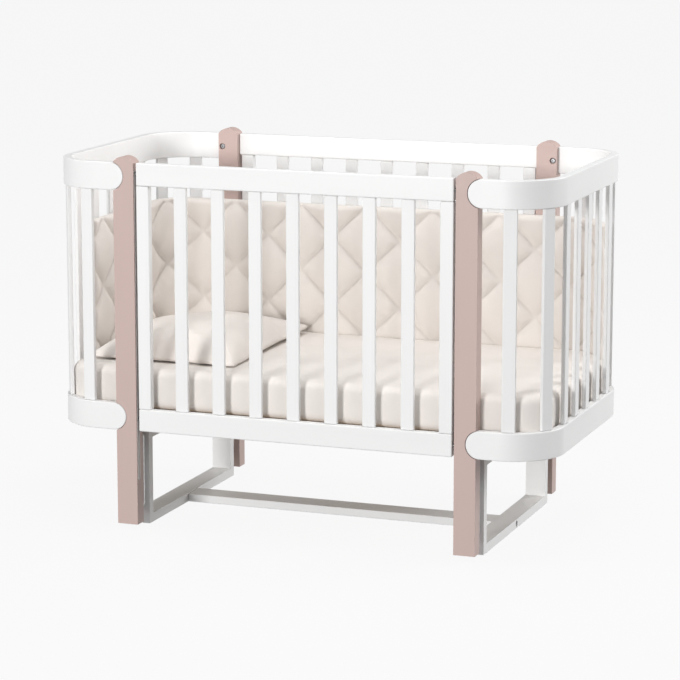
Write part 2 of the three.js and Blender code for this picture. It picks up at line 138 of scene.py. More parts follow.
def relief(tree, value, strength, depth, surface, under=None):
    """Raises the surface by a value, on top of another relief if there is one."""
    bump = node(tree, "ShaderNodeBump", Strength=strength, Distance=depth)
    tree.links.new(value, bump.inputs["Height"])
    if under:
        tree.links.new(under, bump.inputs["Normal"])
    tree.links.new(bump.outputs["Normal"], surface.inputs["Normal"])
    return bump.outputs["Normal"]


def vary_gloss(tree, value, low, high, surface):
    """Lets the roughness of the surface run from low to high with a value."""
    tree.links.new(between(tree, value, low, high), surface.inputs["Roughness"])


def painted_wood(name, colour, grain, roughness):
    """Satin paint over wood whose grain shows faintly along the stretched way."""
    finish, tree, surface = new_finish(name)
    shade = speckle(tree, grain, 9.0)
    darker = tuple(c * 0.965 for c in colour)
    tint(tree, between(tree, shade, 0.0, 1.0), colour, darker, surface)
    fibres = relief(tree, speckle(tree, grain, 60.0, 6.0), 0.10, 0.0004, surface)
    relief(tree, speckle(tree, EVEN, 700.0, 2.0), 0.05, 0.0002, surface, fibres)
    vary_gloss(tree, speckle(tree, EVEN, 25.0), roughness - 0.05, roughness + 0.05, surface)
    surface.inputs["Specular IOR Level"].default_value = 0.45
    return finish


GRAIN_ALONG_X = (0.08, 1, 1)
GRAIN_ALONG_Y = (1, 0.08, 1)
GRAIN_UPRIGHT = (1, 1, 0.08)
GRAIN_ROUND = (0.5, 0.5, 1)
white_along_x = painted_wood("white_paint_along", WHITE_PAINT, GRAIN_ALONG_X, WHITE_GLOSS)
white_along_y = painted_wood("white_paint_across", WHITE_PAINT, GRAIN_ALONG_Y, WHITE_GLOSS)
white_upright = painted_wood("white_paint_upright", WHITE_PAINT, GRAIN_UPRIGHT, WHITE_GLOSS)
white_bent = painted_wood("white_paint_bent", WHITE_PAINT, GRAIN_ROUND, WHITE_GLOSS)


def make_piece(name, shape, material, body, slot, *cad_nodes):
    """Turns a bmesh into a piece that rides on a body and stands for CAD nodes."""
    bmesh.ops.recalc_face_normals(shape, faces=shape.faces)
    mesh = bpy.data.meshes.new(name)
    shape.to_mesh(mesh)
    shape.free()
    mesh.materials.append(material)
    mesh.polygons.foreach_set("use_smooth", [True] * len(mesh.polygons))
    piece = bpy.data.objects.new(name, mesh)
    bpy.context.scene.collection.objects.link(piece)
    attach(piece, body)
    if cad_nodes:
        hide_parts(*cad_nodes)
    return piece


def settle(piece):
    """Works a piece's modifiers into its mesh."""
    shaped = piece.evaluated_get(bpy.context.evaluated_depsgraph_get())
    mesh = bpy.data.meshes.new_from_object(shaped)
    piece.modifiers.clear()
    piece.data = mesh


def look_flat(piece, keep_sharp=False):
    """Points the normals of an eased piece along its large faces, so that the flats look flat."""
    weighted = piece.modifiers.new("flat faces", "WEIGHTED_NORMAL")
    weighted.keep_sharp = keep_sharp
    weighted.weight = 100
    settle(piece)


def round_edges(piece, width, segments=3, angle=35.0):
    """Eases every sharp edge, and keeps the flats looking flat."""
    bevel = piece.modifiers.new("eased edges", "BEVEL")
    bevel.width = width
    bevel.segments = segments
    bevel.limit_method = "ANGLE"
    bevel.angle_limit = math.radians(angle)
    bevel.miter_outer = "MITER_ARC"
    settle(piece)
    look_flat(piece, keep_sharp=True)


def peg(shape, radius, start, end, sides=48):
    """Adds a round bar between two points to a bmesh."""
    start, end = Vector(start), Vector(end)
    turn = (end - start).to_track_quat("Z", "Y").to_matrix().to_4x4()
    placed = Matrix.Translation((start + end) / 2) @ turn
    bmesh.ops.create_cone(
        shape, cap_ends=True, segments=sides, radius1=radius, radius2=radius,
        depth=(end - start).length, matrix=placed,
    )


def block(shape, low, high):
    """Adds a box between two corners to a bmesh."""
    low, high = Vector(low), Vector(high)
    placed = Matrix.Translation((low + high) / 2) @ Matrix.Diagonal((*(high - low), 1))
    bmesh.ops.create_cube(shape, size=1, matrix=placed)


def cut_away(piece, cutter):
    """Cuts a bmesh of closed shapes out of a piece."""
    mesh = bpy.data.meshes.new("cutter")
    cutter.to_mesh(mesh)
    cutter.free()
    tool = bpy.data.objects.new("cutter", mesh)
    bpy.context.scene.collection.objects.link(tool)
    cut = piece.modifiers.new("cut", "BOOLEAN")
    cut.operation = "DIFFERENCE"
    cut.solver = "EXACT"
    cut.object = tool
    settle(piece)
    bpy.data.objects.remove(tool)


def join_rings(shape, first, second):
    """Joins two rings of vertices with a band of faces."""
    count = len(first)
    for i in range(count):
        j = (i + 1) % count
        shape.faces.new([first[i], first[j], second[j], second[i]])


def plate(shape, outline, place, thickness):
    """Adds a flat plate to a bmesh. place puts an outline point and a depth in the crib."""
    rings = [[shape.verts.new(place(a, b, depth)) for a, b in outline] for depth in (0.0, thickness)]
    for ring in rings:
        shape.faces.new(ring)
    join_rings(shape, *rings)


for side_name, side in SIDES:
    middle = side * POST_CENTRE_X
    outside = (FRAME_HALF_DEPTH, 0.0, FRAME_TOP)
    inside = (FRAME_HALF_DEPTH - FRAME_BAR, FRAME_BAR, FRAME_TOP - FRAME_BAR)
    rectangle = bmesh.new()
    rings = []
    for x in (middle - FRAME_WIDTH / 2, middle + FRAME_WIDTH / 2):
        for half, low, high in (outside, inside):
            around = [(-half, low), (half, low), (half, high), (-half, high)]
            rings.append([rectangle.verts.new((x, y, z)) for y, z in around])
    for first, second in ((0, 1), (2, 3), (0, 2), (1, 3)):
        join_rings(rectangle, rings[first], rings[second])
    base_frame = make_piece(
        f"{side_name}_base_frame", rectangle, white_along_y, "base", "white_wood",
        f"base_frame_{side_name}",
    )
    holes = bmesh.new()
    for facing in (-1, 1):
        hole_mouth = facing * (FRAME_HALF_DEPTH + CUT_PAST)
        hole_end = facing * (FRAME_HALF_DEPTH - FRAME_STUD_HOLE_DEPTH)
        peg(holes, STUD_HOLE_RADIUS, (middle, hole_mouth, UPPER_PIVOT_Z), (middle, hole_end, UPPER_PIVOT_Z))
    recess_mouth = middle + side * (FRAME_WIDTH / 2 + CUT_PAST)
    recess_floor = middle + side * (FRAME_WIDTH / 2 - STRETCHER_RECESS_DEPTH)
    peg(
        holes, STRETCHER_RECESS_RADIUS,
        (recess_floor, 0, FRAME_BAR / 2), (recess_mouth, 0, FRAME_BAR / 2),
    )
    cut_away(base_frame, holes)
    round_edges(base_frame, FRAME_EDGE)


# --- Stretcher ----------------------------------------------------------------
# One board of painted beech, 66 mm wide and 20 mm thick, that lies on the floor between the two
# base frames. Its ends are butted against the frames' lower bars.

STRETCHER_WIDTH = 0.066
STRETCHER_HEIGHT = 0.020
STRETCHER_EDGE = 0.0022
JOINT_GAP = 0.0003
stretcher_end = POST_CENTRE_X - FRAME_WIDTH / 2 - JOINT_GAP


def eased_block(low, high, edge):
    """The shape of a straight board with rounded edges."""
    shape = bmesh.new()
    block(shape, low, high)
    bmesh.ops.bevel(shape, geom=shape.edges[:], offset=edge, segments=3, profile=0.5, affect="EDGES")
    return shape


def white_board(name, low, high, edge, paint, body, cad_node):
    """A straight white board between two corners."""
    look_flat(make_piece(name, eased_block(low, high, edge), paint, body, "white_wood", cad_node))


white_board(
    "stretcher_board", (-stretcher_end, -STRETCHER_WIDTH / 2, 0),
    (stretcher_end, STRETCHER_WIDTH / 2, STRETCHER_HEIGHT),
    STRETCHER_EDGE, white_along_x, "base", "base_stretcher",
)


# --- Stretcher bolts ----------------------------------------------------------
# A dark steel furniture bolt with a hexagon socket, sunk in a counterbore in the outer face of
# each base frame's lower bar. It runs through the bar into the end of the stretcher.

BOLT_HEAD_RADIUS = 0.0062
BOLT_HEAD_HEIGHT = 0.0034
SOCKET_RADIUS = 0.0026
SOCKET_DEPTH = 0.0022
BOLT_EDGE = 0.0003


def plated_steel(name, colour, roughness):
    """Plated steel with a faint brushed grain."""
    finish, tree, surface = new_finish(name)
    surface.inputs["Metallic"].default_value = 1.0
    shade = speckle(tree, EVEN, 120.0)
    tint(tree, between(tree, shade, 0.0, 1.0), colour, tuple(c * 0.82 for c in colour), surface)
    vary_gloss(tree, speckle(tree, (1, 1, 8), 90.0), roughness - 0.07, roughness + 0.09, surface)
    relief(tree, speckle(tree, (1, 1, 14), 260.0, 2.0), 0.12, 0.0002, surface)
    return finish


dark_steel = plated_steel("dark_steel", (0.16, 0.16, 0.165), 0.45)


def close_ring(shape, ring, middle):
    """Closes a ring of vertices with a fan of faces round a middle one."""
    for i in range(len(ring)):
        shape.faces.new([ring[i], ring[(i + 1) % len(ring)], middle])


def turned(shape, profile, start, direction, sides=40):
    """Adds a turned solid to a bmesh: profile is (radius, distance along direction) pairs."""
    turn = Vector(direction).to_track_quat("Z", "Y").to_matrix().to_4x4()
    placed = Matrix.Translation(Vector(start)) @ turn
    rings = []
    for radius, along in profile:
        if radius == 0:
            rings.append([shape.verts.new(placed @ Vector((0, 0, along)))])
            continue
        ring = []
        for k in range(sides):
            angle = 2 * math.pi * k / sides
            spot = Vector((radius * math.cos(angle), radius * math.sin(angle), along))
            ring.append(shape.verts.new(placed @ spot))
        rings.append(ring)
    for lower, upper in zip(rings, rings[1:]):
        if len(lower) == 1:
            close_ring(shape, upper, lower[0])
        elif len(upper) == 1:
            close_ring(shape, lower, upper[0])
        else:
            join_rings(shape, lower, upper)


def socket_bolt(name, seat, direction, body, plating):
    """A low round bolt head with a hexagon socket, seated at a point and facing a direction."""
    seat, direction = Vector(seat), Vector(direction).normalized()
    r, h = BOLT_HEAD_RADIUS, BOLT_HEAD_HEIGHT
    head = bmesh.new()
    turned(head, [
        (0, 0), (r, 0), (r, h * 0.55), (r * 0.97, h * 0.78), (r * 0.88, h * 0.93), (r * 0.74, h), (0, h),
    ], seat, direction)
    bolt = make_piece(name, head, plating, body, "steel")
    socket = bmesh.new()
    socket_floor = seat + direction * (h - SOCKET_DEPTH)
    peg(socket, SOCKET_RADIUS, socket_floor, seat + direction * (h + CUT_PAST), sides=6)
    cut_away(bolt, socket)
    round_edges(bolt, BOLT_EDGE, 2, 40)


for side_name, side in SIDES:
    seat = side * (POST_CENTRE_X + FRAME_WIDTH / 2 - STRETCHER_RECESS_DEPTH + JOINT_GAP)
    socket_bolt(f"{side_name}_stretcher_bolt", (seat, 0, FRAME_BAR / 2), (side, 0, 0), "base", dark_steel)


# --- Swing links --------------------------------------------------------------
# Four flat steel straps, 36 by 6 mm. Each hangs from a shouldered stud in a base frame's upright,
# and a second stud at its lower end carries the post, so the crib swings end to end.

LOWER_PIVOT_Z = 0.057
LINK_PLANE_Y = 0.278
LINK_WIDTH = 0.036
LINK_THICKNESS = 0.006
LINK_EDGE = 0.0016
STUD_RADIUS = 0.006
STUD_EDGE = 0.0004
STUD_TIP = 0.001
COLLAR_RADIUS = 0.011
UPPER_COLLAR_END = 0.0114
LOWER_COLLAR_END = 0.0214
UPPER_STUD_END_Y = 0.246
LOWER_STUD_END_Y = 0.323
RIVET_RADIUS = 0.008
RIVET_HEIGHT = 0.005
HAIR_GAP = 0.0001
strap_steel = plated_steel("strap_steel", (0.78, 0.78, 0.78), 0.50)
zinc = plated_steel("zinc_plate", (0.62, 0.62, 0.63), 0.34)


def corners():
    """The name of each corner of the crib, with its sides along X and Y."""
    for side_y_name, side_y in (("front", -1), ("back", 1)):
        for side_x_name, side_x in SIDES:
            yield f"{side_y_name}_{side_x_name}", side_x, side_y


def round_ended(low, high, radius, steps=20):
    """The outline of an upright bar with half-round ends, as (across, up) pairs."""
    outline = []
    for k in range(steps + 1):
        angle = math.pi * k / steps
        outline.append((radius * math.cos(angle), high + radius * math.sin(angle)))
    for k in range(steps + 1):
        angle = math.pi * (1 + k / steps)
        outline.append((radius * math.cos(angle), low + radius * math.sin(angle)))
    return outline


for corner, side_x, side_y in corners():
    body = f"link_{corner}"
    x = side_x * POST_CENTRE_X
    half = LINK_THICKNESS / 2
    strap = bmesh.new()
    plate(
        strap, round_ended(LOWER_PIVOT_Z, UPPER_PIVOT_Z, LINK_WIDTH / 2),
        lambda a, b, depth: (x + a, side_y * LINK_PLANE_Y - half + depth, b), LINK_THICKNESS,
    )
    link_strap = make_piece(
        f"{corner}_link_strap", strap, strap_steel, body, "steel", f"swing_link_{corner}",
    )
    holes = bmesh.new()
    hole_ends = [side_y * (LINK_PLANE_Y + way * (half + CUT_PAST)) for way in (-1, 1)]
    for z in (LOWER_PIVOT_Z, UPPER_PIVOT_Z):
        peg(holes, STUD_RADIUS + JOINT_GAP, (x, hole_ends[0], z), (x, hole_ends[1], z))
    cut_away(link_strap, holes)
    round_edges(link_strap, LINK_EDGE)
    upper_head, lower_head = LINK_PLANE_Y + half, LINK_PLANE_Y - half
    for which, z, head_y, way, end_y, collar in (
        ("upper", UPPER_PIVOT_Z, upper_head, -1, UPPER_STUD_END_Y, UPPER_COLLAR_END),
        ("lower", LOWER_PIVOT_Z, lower_head, 1, LOWER_STUD_END_Y, LOWER_COLLAR_END),
    ):
        stud = bmesh.new()
        r, h = RIVET_RADIUS, RIVET_HEIGHT
        shank = abs(end_y - head_y)
        strap_far = LINK_THICKNESS + HAIR_GAP
        turned(stud, [
            (0, -h), (r * 0.55, -h), (r * 0.82, -h * 0.86), (r * 0.96, -h * 0.6), (r, -h * 0.25),
            (r, -HAIR_GAP), (STUD_RADIUS, -HAIR_GAP), (STUD_RADIUS, strap_far),
            (COLLAR_RADIUS, strap_far), (COLLAR_RADIUS, collar), (STUD_RADIUS, collar),
            (STUD_RADIUS, shank - STUD_TIP), (STUD_RADIUS - STUD_TIP, shank), (0, shank),
        ], (x, side_y * head_y, z), (0, side_y * way, 0))
        pivot = make_piece(f"{corner}_{which}_stud", stud, zinc, body, "steel")
        round_edges(pivot, STUD_EDGE, 2)


# --- Posts --------------------------------------------------------------------
# Four posts of solid beech, 52 by 35 mm, painted a satin rose grey, with a low arch on top. Round
# pockets in the outer faces take the ends of the end rails. The front posts have a groove in the
# inner edge that the drop side's guide pins run in.

DEPTH = 0.676
RAIL_TOP = 0.888
POST_WIDTH = 0.052
POST_THICKNESS = 0.035
POST_BOTTOM = 0.014
POST_ARCH = 0.014
POST_ARCH_STEPS = 32
POST_EDGE = 0.0016
END_RAIL_HEIGHT = 0.066
RAIL_THICKNESS = 0.020
RAIL_BOTTOM = 0.244
POCKET_RADIUS = END_RAIL_HEIGHT / 2 + 0.0012
POCKET_OFFSET = 0.001
POCKET_X = POST_CENTRE_X + POCKET_OFFSET + END_RAIL_HEIGHT / 2
POST_INNER_Y = DEPTH / 2 - POST_THICKNESS
POST_STUD_HOLE_DEPTH = 0.022
POST_BOLT_X = POST_CENTRE_X + 0.0157
POST_BOLT_RECESS = 0.008
POST_BOLT_DEPTH = 0.006
SIDE_SET_BACK = 0.001
SIDE_CENTRE_Y = DEPTH / 2 - SIDE_SET_BACK - RAIL_THICKNESS / 2
GUIDE_GROOVE_RADIUS = 0.005
GUIDE_GROOVE_DEPTH = 0.012
GUIDE_GROOVE_LOW = 0.123
GUIDE_GROOVE_HIGH = 0.870
LINER_THICKNESS = 0.0010
END_RAIL_LEVELS = (RAIL_TOP - END_RAIL_HEIGHT / 2, RAIL_BOTTOM + END_RAIL_HEIGHT / 2)
ROSE_PAINT = (0.560, 0.422, 0.385)
rose_upright = painted_wood("rose_paint", ROSE_PAINT, GRAIN_UPRIGHT, 0.46)

half_width = POST_WIDTH / 2
arch_radius = (half_width ** 2 + POST_ARCH ** 2) / (2 * POST_ARCH)
arch_centre = RAIL_TOP + POST_ARCH - arch_radius
shoulder = math.atan2(RAIL_TOP - arch_centre, half_width)
post_outline = [(-half_width, POST_BOTTOM), (half_width, POST_BOTTOM)]
for k in range(POST_ARCH_STEPS + 1):
    angle = shoulder + (math.pi - 2 * shoulder) * k / POST_ARCH_STEPS
    post_outline.append((arch_radius * math.cos(angle), arch_centre + arch_radius * math.sin(angle)))


def guide_groove(side):
    """The shape of the groove in a front post's inner edge, wide enough to take its liner."""
    groove = bmesh.new()
    mouth = POST_CENTRE_X - half_width - CUT_PAST
    outline = round_ended(
        GUIDE_GROOVE_LOW + GUIDE_GROOVE_RADIUS, GUIDE_GROOVE_HIGH - GUIDE_GROOVE_RADIUS,
        GUIDE_GROOVE_RADIUS + LINER_THICKNESS,
    )
    plate(
        groove, outline, lambda a, b, depth: (side * (mouth + depth), a - SIDE_CENTRE_Y, b),
        GUIDE_GROOVE_DEPTH + CUT_PAST,
    )
    bmesh.ops.recalc_face_normals(groove, faces=groove.faces)
    return groove


for corner, side_x, side_y in corners():
    x = side_x * POST_CENTRE_X
    front_face = min(side_y * POST_INNER_Y, side_y * DEPTH / 2)
    timber = bmesh.new()
    plate(timber, post_outline, lambda a, b, depth: (x + a, front_face + depth, b), POST_THICKNESS)
    post = make_piece(f"{corner}_post", timber, rose_upright, "crib", "rose_wood", f"post_{corner}")
    holes = bmesh.new()
    inner_mouth = side_y * (POST_INNER_Y - CUT_PAST)
    outer_mouth = side_y * (DEPTH / 2 + CUT_PAST)
    pocket_floor = side_y * (DEPTH / 2 - RAIL_THICKNESS - JOINT_GAP)
    recess_floor = side_y * (POST_INNER_Y + POST_BOLT_DEPTH)
    stud_floor = side_y * (POST_INNER_Y + POST_STUD_HOLE_DEPTH)
    for level in END_RAIL_LEVELS:
        pocket_x, bolt_x = side_x * POCKET_X, side_x * POST_BOLT_X
        peg(holes, POCKET_RADIUS, (pocket_x, pocket_floor, level), (pocket_x, outer_mouth, level), 96)
        peg(holes, POST_BOLT_RECESS, (bolt_x, inner_mouth, level), (bolt_x, recess_floor, level))
    peg(holes, STUD_HOLE_RADIUS, (x, inner_mouth, LOWER_PIVOT_Z), (x, stud_floor, LOWER_PIVOT_Z))
    cut_away(post, holes)
    if side_y < 0:
        cut_away(post, guide_groove(side_x))
    round_edges(post, POST_EDGE)


# --- Guide liners -------------------------------------------------------------
# A thin channel of satin zinc pressed into the groove of each front post. Its rim stands a little
# proud of the wood, and the drop side's pins slide in it.

LINER_PROUD = 0.0008
LINER_EDGE = 0.0003
satin_zinc, satin_tree, satin_surface = new_finish("satin_zinc")
satin_surface.inputs["Metallic"].default_value = 0.35
tint(
    satin_tree, between(satin_tree, speckle(satin_tree, (1, 1, 0.2), 60.0), 0.0, 1.0),
    (0.86, 0.86, 0.85), (0.76, 0.76, 0.75), satin_surface,
)
vary_gloss(satin_tree, speckle(satin_tree, (1, 1, 0.1), 200.0), 0.42, 0.58, satin_surface)
relief(satin_tree, speckle(satin_tree, (1, 1, 0.1), 300.0), 0.1, 0.0002, satin_surface)

for side_name, side in SIDES:
    channel = bmesh.new()
    low = GUIDE_GROOVE_LOW + GUIDE_GROOVE_RADIUS
    high = GUIDE_GROOVE_HIGH - GUIDE_GROOVE_RADIUS
    wide = round_ended(low, high, GUIDE_GROOVE_RADIUS + LINER_THICKNESS - HAIR_GAP)
    narrow = round_ended(low, high, GUIDE_GROOVE_RADIUS)
    mouth_x = POST_CENTRE_X - half_width - LINER_PROUD
    depth = GUIDE_GROOVE_DEPTH + LINER_PROUD - 2 * HAIR_GAP
    rings = []
    for outline, inward in ((wide, depth), (wide, 0.0), (narrow, 0.0), (narrow, depth)):
        x = side * (mouth_x + inward)
        rings.append([channel.verts.new((x, a - SIDE_CENTRE_Y, b)) for a, b in outline])
    for first, second in zip(rings, rings[1:] + rings[:1]):
        join_rings(channel, first, second)
    liner = make_piece(f"{side_name}_guide_liner", channel, satin_zinc, "crib", "steel")
    round_edges(liner, LINER_EDGE, 2)


# --- Post bolts ---------------------------------------------------------------
# Eight furniture bolts, one behind each end of each end rail. The round head lies in a
# counterbore in the post's inner face, and the bolt pulls the rail into its pocket.

bolt_steel = plated_steel("bolt_steel", (0.30, 0.30, 0.31), 0.42)
for corner, side_x, side_y in corners():
    seat_y = side_y * (POST_INNER_Y + POST_BOLT_DEPTH - JOINT_GAP)
    for level_name, level in zip(("top", "bottom"), END_RAIL_LEVELS):
        seat = (side_x * POST_BOLT_X, seat_y, level)
        socket_bolt(f"{corner}_{level_name}_bolt", seat, (0, -side_y, 0), "crib", bolt_steel)


# --- End rails ----------------------------------------------------------------
# A bent lath of laminated beech above and below at each end, 66 by 20 mm and painted white. It
# runs from the front post round the end to the back post, and its ends are half round.

LENGTH = 1.250
END_CORNER_RADIUS = 0.125
LATH_EDGE = 0.0025
LATH_EDGE_STEPS = 4
LATH_TIP_STEPS = 16
LATH_STRAIGHT_STEPS = 8
BEND_STEP = 0.006
bend_radius = END_CORNER_RADIUS - RAIL_THICKNESS / 2
bend_x = LENGTH / 2 - END_CORNER_RADIUS
bend_y = DEPTH / 2 - END_CORNER_RADIUS
lead = bend_x - POCKET_X
quarter = bend_radius * math.pi / 2
straight = 2 * bend_y
lath_length = 2 * lead + 2 * quarter + straight


def round_the_end(along):
    """The place and outward direction on the middle line of the right end's rails."""
    side = 1 if along > lath_length / 2 else -1
    s = abs(along - lath_length / 2)
    if s <= straight / 2:
        return Vector((bend_x + bend_radius, side * s, 0)), Vector((1, 0, 0))
    s -= straight / 2
    if s <= quarter:
        angle = s / bend_radius
        outward = Vector((math.cos(angle), side * math.sin(angle), 0))
        return Vector((bend_x, side * bend_y, 0)) + outward * bend_radius, outward
    s -= quarter
    return Vector((bend_x - s, side * (bend_y + bend_radius), 0)), Vector((0, side, 0))


def bent_lath(side, level):
    """A lath with half-round ends and eased edges, bent round one end of the crib."""
    stations = [0.0, lead]
    steps = int(quarter / BEND_STEP)
    for start in (lead, lead + quarter + straight):
        stations += [start + quarter * k / steps for k in range(1, steps + 1)]
    stations += [
        lead + quarter + straight * k / LATH_STRAIGHT_STEPS for k in range(1, LATH_STRAIGHT_STEPS)
    ]
    stations = sorted(set(round(s, 6) for s in stations + [lath_length]))
    half = RAIL_THICKNESS / 2
    eased = []
    for k in range(LATH_EDGE_STEPS + 1):
        angle = math.pi / 2 * k / LATH_EDGE_STEPS
        eased.append((-half + LATH_EDGE * (1 - math.cos(angle)), LATH_EDGE * (1 - math.sin(angle))))
    depths = eased + [(-depth, inset) for depth, inset in reversed(eased)]
    tip = [math.pi / 2 * k / LATH_TIP_STEPS for k in range(1, LATH_TIP_STEPS + 1)]
    shape = bmesh.new()
    turn = Matrix.Identity(4) if side > 0 else Matrix.Rotation(math.pi, 4, "Z")
    rings = []
    for depth, inset in depths:
        radius = END_RAIL_HEIGHT / 2 - inset
        upper = [(-radius * math.cos(angle), radius * math.sin(angle)) for angle in tip]
        upper += [(s, radius) for s in stations[1:-1]]
        upper += [
            (lath_length + radius * math.cos(angle), radius * math.sin(angle)) for angle in reversed(tip)
        ]
        first, last = (-radius, 0.0), (lath_length + radius, 0.0)
        outline = [first] + upper + [last] + [(s, -z) for s, z in reversed(upper)]
        ring = []
        for s, z in outline:
            spot, outward = round_the_end(min(max(s, 0.0), lath_length))
            past_end = min(s, 0.0) or min(lath_length - s, 0.0)
            point = spot + Vector((past_end, 0, level + z)) + outward * depth
            ring.append(shape.verts.new(turn @ point))
        rings.append(ring)
    for lower, upper in zip(rings, rings[1:]):
        join_rings(shape, lower, upper)
    count = len(rings[0])
    half_count = count // 2
    for ring in (rings[0], rings[-1]):
        shape.faces.new([ring[0], ring[1], ring[-1]])
        for i in range(1, half_count - 1):
            shape.faces.new([ring[i], ring[i + 1], ring[count - i - 1], ring[count - i]])
        shape.faces.new([ring[half_count - 1], ring[half_count], ring[half_count + 1]])
    return shape


for side_name, side in SIDES:
    for level_name, level in zip(("top", "bottom"), END_RAIL_LEVELS):
        look_flat(make_piece(
            f"{side_name}_{level_name}_bent_rail", bent_lath(side, level), white_bent, "crib",
            "white_wood", f"{side_name}_end_{level_name}_rail",
        ))


# --- End slats ----------------------------------------------------------------
# Nine thin beech slats at each end, 32 by 10 mm with eased edges, glued between the bent rails at
# even steps. The outer two at each side stand on the curve and turn with it.

SLAT_WIDTH = 0.032
SLAT_THICKNESS = 0.010
SLAT_EDGE = 0.0024
END_SLAT_COUNT = 9
END_SLAT_PITCH = 0.0925
end_slat_low = RAIL_BOTTOM + END_RAIL_HEIGHT + JOINT_GAP
end_slat_high = RAIL_TOP - END_RAIL_HEIGHT - JOINT_GAP

for side_name, side in SIDES:
    about = Matrix.Identity(4) if side > 0 else Matrix.Rotation(math.pi, 4, "Z")
    for index in range(END_SLAT_COUNT):
        step = index - (END_SLAT_COUNT - 1) / 2
        spot, outward = round_the_end(lath_length / 2 + step * END_SLAT_PITCH)
        slat = eased_block(
            (-SLAT_THICKNESS / 2, -SLAT_WIDTH / 2, end_slat_low),
            (SLAT_THICKNESS / 2, SLAT_WIDTH / 2, end_slat_high), SLAT_EDGE,
        )
        turn = Matrix.Rotation(math.atan2(outward.y, outward.x), 4, "Z")
        slat.transform(about @ Matrix.Translation(spot) @ turn)
        look_flat(make_piece(
            f"{side_name}_end_bar_{index + 1}", slat, white_upright, "crib", "white_wood",
            f"{side_name}_end_slat_{index + 1}",
        ))


# --- Back panel ---------------------------------------------------------------
# A fixed panel between the back posts: two rails, a stile at each end and seven slats between,
# all of painted beech and dowelled together. The slats are half as thick as the rails.

SIDE_RAIL_HEIGHT = 0.054
SIDE_RAIL_EDGE = 0.003
STILE_CENTRE_X = 0.376
STILE_THICKNESS = 0.019
SIDE_SLAT_COUNT = 7
SIDE_SLAT_PITCH = 0.094


def side_panel(panel, side, half_length, body):
    """The rails, stiles and slats of one long side."""
    y = side * SIDE_CENTRE_Y
    half = RAIL_THICKNESS / 2
    for rail, low in (("top", RAIL_TOP - SIDE_RAIL_HEIGHT), ("bottom", RAIL_BOTTOM)):
        white_board(
            f"{panel}_{rail}_board", (-half_length, y - half, low),
            (half_length, y + half, low + SIDE_RAIL_HEIGHT),
            SIDE_RAIL_EDGE, white_along_x, body, f"{panel}_{rail}_rail",
        )
    uprights = [
        (f"{panel}_{stile}_stile", f"{panel}_stile_{stile}", way * STILE_CENTRE_X, STILE_THICKNESS / 2)
        for stile, way in SIDES
    ]
    for index in range(SIDE_SLAT_COUNT):
        x = (index - (SIDE_SLAT_COUNT - 1) / 2) * SIDE_SLAT_PITCH
        uprights.append((f"{panel}_bar_{index + 1}", f"{panel}_slat_{index + 1}", x, SLAT_THICKNESS / 2))
    low = RAIL_BOTTOM + SIDE_RAIL_HEIGHT + JOINT_GAP
    high = RAIL_TOP - SIDE_RAIL_HEIGHT - JOINT_GAP
    for name, cad_node, x, half in uprights:
        white_board(
            name, (x - SLAT_WIDTH / 2, y - half, low), (x + SLAT_WIDTH / 2, y + half, high),
            SLAT_EDGE, white_upright, body, cad_node,
        )


side_panel("back", 1, POST_CENTRE_X - POST_WIDTH / 2 - JOINT_GAP, "crib")


# --- Drop side ----------------------------------------------------------------
# The front panel is made like the back one, 6 mm short of the posts at each end. Steel pins in
# the ends of its rails run in the posts' grooves, so it lowers by 130 mm.

DROP_SIDE_GAP = 0.006
GUIDE_PIN_RADIUS = 0.004
GUIDE_PIN_LENGTH = 0.016
GUIDE_PIN_TIP = 0.001
GUIDE_PIN_EDGE = 0.0002
drop_end = POST_CENTRE_X - POST_WIDTH / 2 - DROP_SIDE_GAP
side_panel("drop_side", -1, drop_end, "drop_side")

for rail, z in (("top", RAIL_TOP - SIDE_RAIL_HEIGHT / 2), ("bottom", RAIL_BOTTOM + SIDE_RAIL_HEIGHT / 2)):
    for side_name, side in SIDES:
        pin = bmesh.new()
        r, length = GUIDE_PIN_RADIUS, GUIDE_PIN_LENGTH
        turned(
            pin, [(0, 0), (r, 0), (r, length - GUIDE_PIN_TIP), (r - GUIDE_PIN_TIP, length), (0, length)],
            (side * (drop_end + HAIR_GAP), -SIDE_CENTRE_Y, z), (side, 0, 0), 24,
        )
        guide_pin = make_piece(f"{side_name}_{rail}_guide_pin", pin, dark_steel, "drop_side", "steel")
        round_edges(guide_pin, GUIDE_PIN_EDGE, 1)


# --- Bed base -----------------------------------------------------------------
# A varnished birch plywood board, 20 mm thick, screwed between the posts and the end rails. Eleven
# long slots let air through to the mattress.

BED_BASE_LOW = 0.270
BED_BASE_HIGH = 0.290
BED_BASE_CORNER = 0.104
BED_BASE_EDGE = 0.001
BED_SLOT_COUNT = 11
BED_SLOT_PITCH = 0.100
BED_SLOT_WIDTH = 0.045
BED_SLOT_LENGTH = 0.480


def plywood_finish():
    """Varnished birch plywood: grain on the faces, and dark and light plies on the edges."""
    finish, tree, surface = new_finish("birch_plywood")
    figure = node(tree, "ShaderNodeTexWave", Scale=18.0, Distortion=7.0, Detail=3.0)
    figure.bands_direction = "Y"
    tree.links.new(place_on_piece(tree, (0.06, 1, 1)), figure.inputs["Vector"])
    tint(tree, figure.outputs["Fac"], (0.70, 0.52, 0.33), (0.60, 0.42, 0.25), surface)
    plies = node(tree, "ShaderNodeTexWave", Scale=80.0)
    plies.bands_direction = "Z"
    tree.links.new(place_on_piece(tree, EVEN), plies.inputs["Vector"])
    fibres = relief(tree, speckle(tree, (0.06, 1, 1), 220.0, 5.0), 0.2, 0.0004, surface)
    relief(tree, plies.outputs["Fac"], 0.15, 0.0003, surface, fibres)
    vary_gloss(tree, speckle(tree, EVEN, 30.0), 0.38, 0.52, surface)
    return finish


